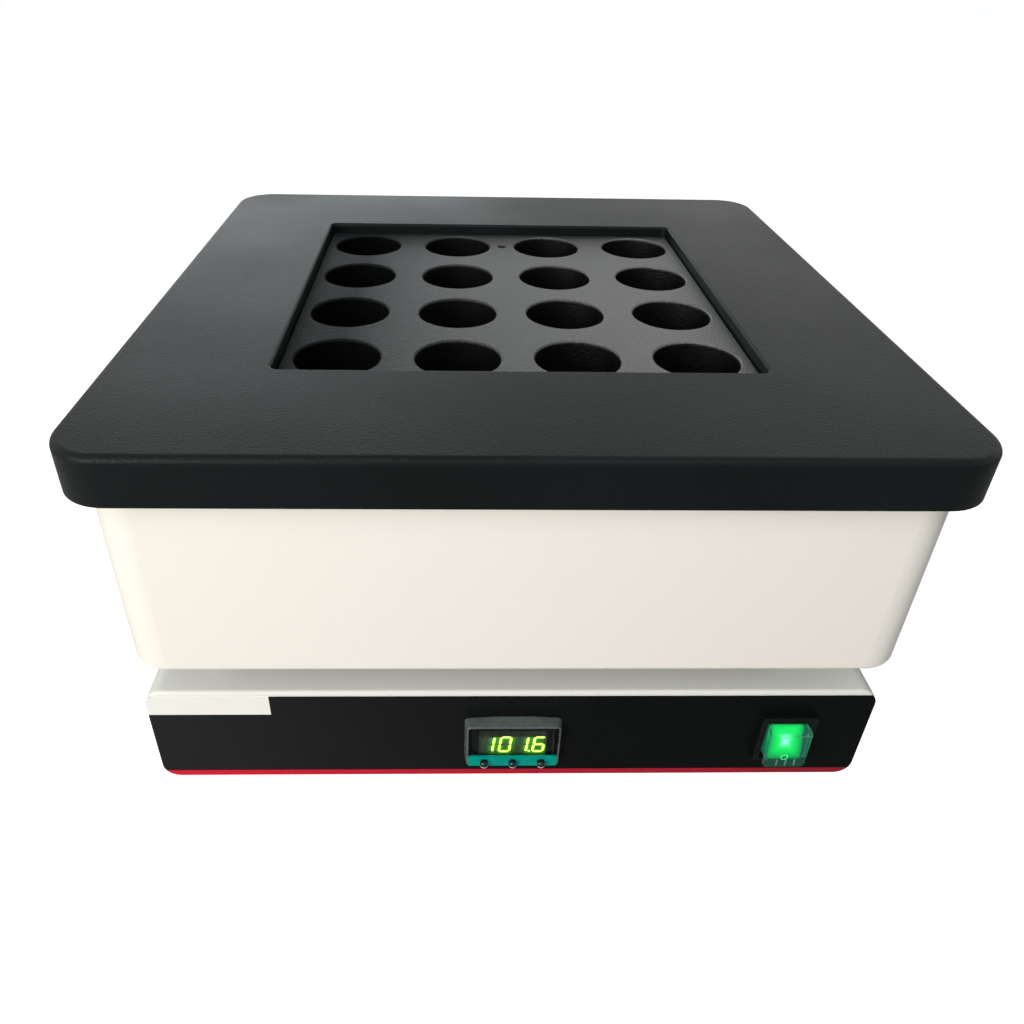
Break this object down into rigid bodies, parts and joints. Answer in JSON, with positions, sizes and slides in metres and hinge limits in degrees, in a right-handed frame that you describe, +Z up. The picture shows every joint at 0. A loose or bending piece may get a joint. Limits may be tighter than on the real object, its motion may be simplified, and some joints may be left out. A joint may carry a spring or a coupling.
{
  "type": "block digester",
  "caption": "Free-standing block digester: an aluminium hot block with open tube wells in an insulated white housing with a black cover, raised on pillars above a flat control base.",
  "frame": {"origin": "on the bench, under the middle of the cover", "axes": "+Z up, +X to the right seen from the front, front towards -Y"},
  "size_m": [0.396, 0.402, 0.228],
  "materials": {
    "black_enamel": "satin",
    "white_enamel": "gloss",
    "block_metal": "matte",
    "aluminium": "satin",
    "plated_steel": "satin",
    "seal": "matte",
    "heater_mica": "matte",
    "ceramic": "satin",
    "insulation": "matte",
    "lead": "matte",
    "rubber": "matte",
    "dark_film": "satin",
    "white_film": "satin",
    "red_film": "satin",
    "black_plastic": "satin",
    "bezel_plastic": "satin",
    "window_plastic": "gloss",
    "display_plastic": "satin",
    "circuit_board": "matte",
    "teal_film": "satin",
    "key_plastic": "gloss",
    "rocker_plastic": "gloss",
    "lamp_lens": "gloss",
    "brass": "satin",
    "fuse_glass": "gloss",
    "relay_plastic": "satin",
    "terminal_plastic": "satin"
  },
  "bodies": {
    "digester": {"top_cover": "black_enamel", "cover_studs": "plated_steel", "cover_nuts": "plated_steel", "cover_gasket": "seal", "heating_block": "block_metal", "block_base": "block_metal", "heater_plate": "heater_mica", "heater_terminals": "ceramic", "clamp_plate": "aluminium", "clamp_screws": "plated_steel", "ceramic_standoffs": "ceramic", "standoff_screws": "plated_steel", "side_insulation": "insulation", "floor_insulation": "insulation", "block_sensor": "plated_steel", "sensor_lead": "lead", "heater_leads": "lead", "limit_thermostat": "plated_steel", "housing_shell": "white_enamel", "housing_floor": "plated_steel", "floor_screws": "plated_steel", "pillars": "aluminium", "pillar_bolts": "plated_steel", "pillar_nuts": "plated_steel", "conduit": "aluminium", "grommets": "rubber", "base_shell": "white_enamel", "service_plate": "plated_steel", "rear_panel": "white_enamel", "panel_screws": "plated_steel", "rubber_feet": "rubber", "foot_screws": "plated_steel", "front_film": "dark_film", "white_field": "white_film", "red_stripe": "red_film", "controller_case": "black_plastic", "controller_clip": "black_plastic", "controller_bezel": "bezel_plastic", "display_window": "window_plastic", "display_modules": "display_plastic", "display_board": "circuit_board", "key_strip": "teal_film", "key_switches": "black_plastic", "switch_frame": "black_plastic", "switch_lamp": "lamp_lens", "switch_terminals": "brass", "mains_inlet": "black_plastic", "inlet_pins": "brass", "inlet_screws_pair": "plated_steel", "relay": "relay_plastic", "relay_screws": "plated_steel", "heat_sink": "aluminium", "terminal_block": "terminal_plastic", "earth_stud": "brass"},
    "rocker": {"switch_rocker": "rocker_plastic"},
    "left_key": {"key_left": "key_plastic"},
    "middle_key": {"key_middle": "key_plastic"},
    "right_key": {"key_right": "key_plastic"},
    "fuse_tray": {"fuse_drawer": "black_plastic", "fuses": "fuse_glass"}
  },
  "joints": [
    {"name": "rocker_hinge", "type": "hinge", "parent": "digester", "child": "rocker", "pos_m": [0.1471, -0.1728, 0.0391], "axis": [1, 0, 0], "range_deg": [0, 18]},
    {"name": "left_key_press", "type": "slide", "parent": "digester", "child": "left_key", "axis": [0, 1, 0], "range_m": [0, 0.0006], "stiffness_N_per_m": 800, "springref_m": -0.0005},
    {"name": "middle_key_press", "type": "slide", "parent": "digester", "child": "middle_key", "axis": [0, 1, 0], "range_m": [0, 0.0006], "stiffness_N_per_m": 800, "springref_m": -0.0005},
    {"name": "right_key_press", "type": "slide", "parent": "digester", "child": "right_key", "axis": [0, 1, 0], "range_m": [0, 0.0006], "stiffness_N_per_m": 800, "springref_m": -0.0005},
    {"name": "fuse_tray_slide", "type": "slide", "parent": "digester", "child": "fuse_tray", "axis": [0, 1, 0], "range_m": [0, 0.016]}
  ]
}
